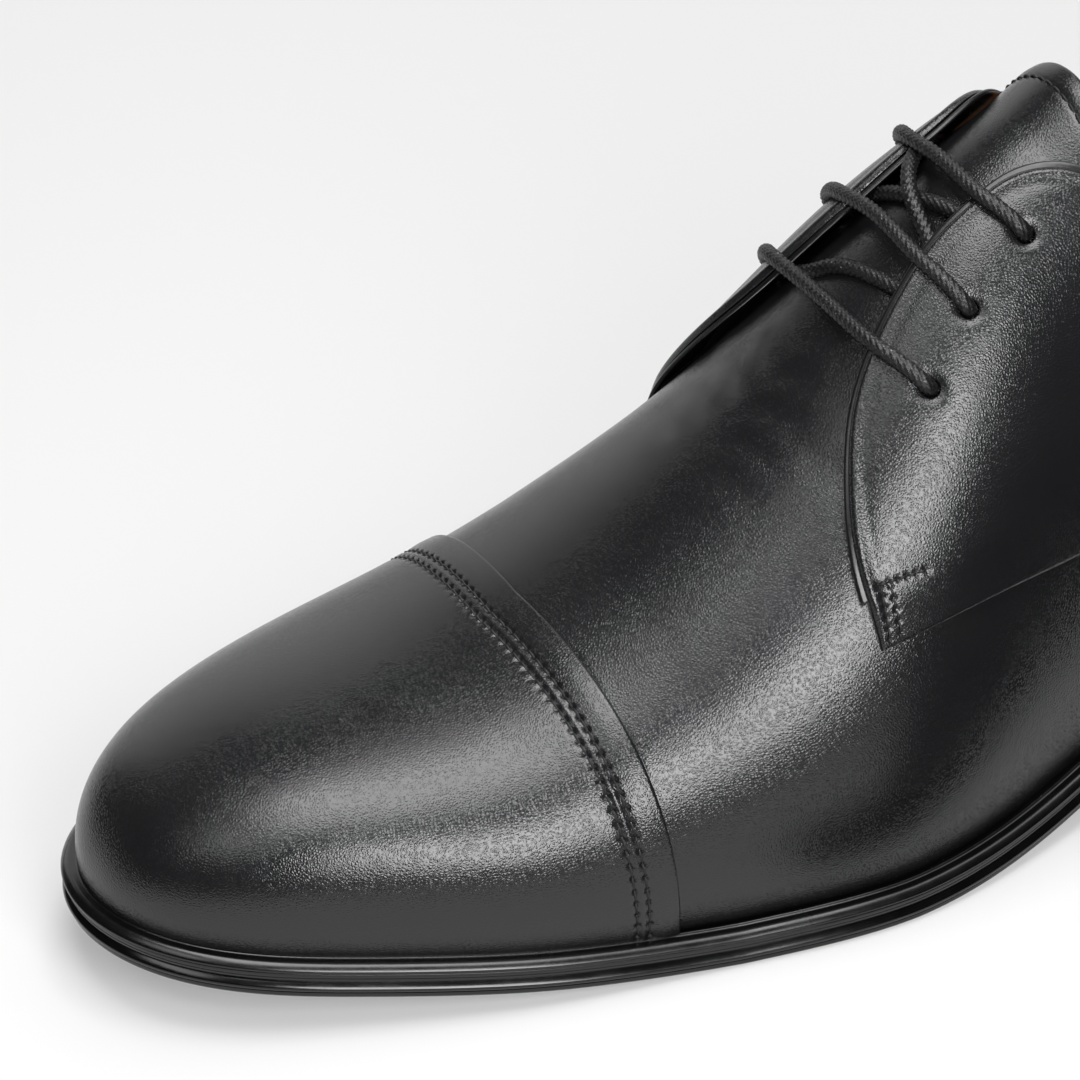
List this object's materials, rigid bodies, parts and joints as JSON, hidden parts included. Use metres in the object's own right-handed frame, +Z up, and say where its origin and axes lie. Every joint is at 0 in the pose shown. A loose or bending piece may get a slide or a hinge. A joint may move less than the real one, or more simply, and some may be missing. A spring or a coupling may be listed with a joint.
{
  "type": "derby dress shoe",
  "caption": "Lace-up derby dress shoe in smooth leather with a plain toe cap, open lacing flaps, thin welted sole and low block heel, standing empty on its sole.",
  "frame": {"origin": "centre of the footprint's box on the floor", "axes": "+Z up, the toe points along -Y, +X is the outer (lateral) side of the left foot"},
  "size_m": [0.0986, 0.2986, 0.1129],
  "materials": {
    "outsole_rubber": "polished black rubber, grooved and beaded at the side",
    "welt_leather": "black edge-finished leather with a soft gloss",
    "heel_leather": "black polished stacked leather",
    "top_piece_rubber": "black moulded rubber",
    "insole_leather": "tan lining leather",
    "upper_leather": "smooth fine-grained black calf with a soft polish",
    "tongue_leather": "smooth fine-grained black calf with a soft polish",
    "lace_cord": "thin round braided cord, waxed"
  },
  "bodies": {
    "root": {"outsole": "outsole_rubber", "welt": "welt_leather", "heel": "heel_leather", "heel_top_piece": "top_piece_rubber", "insole": "insole_leather", "upper": "upper_leather", "tongue": "tongue_leather", "laces": "lace_cord"}
  },
  "joints": []
}
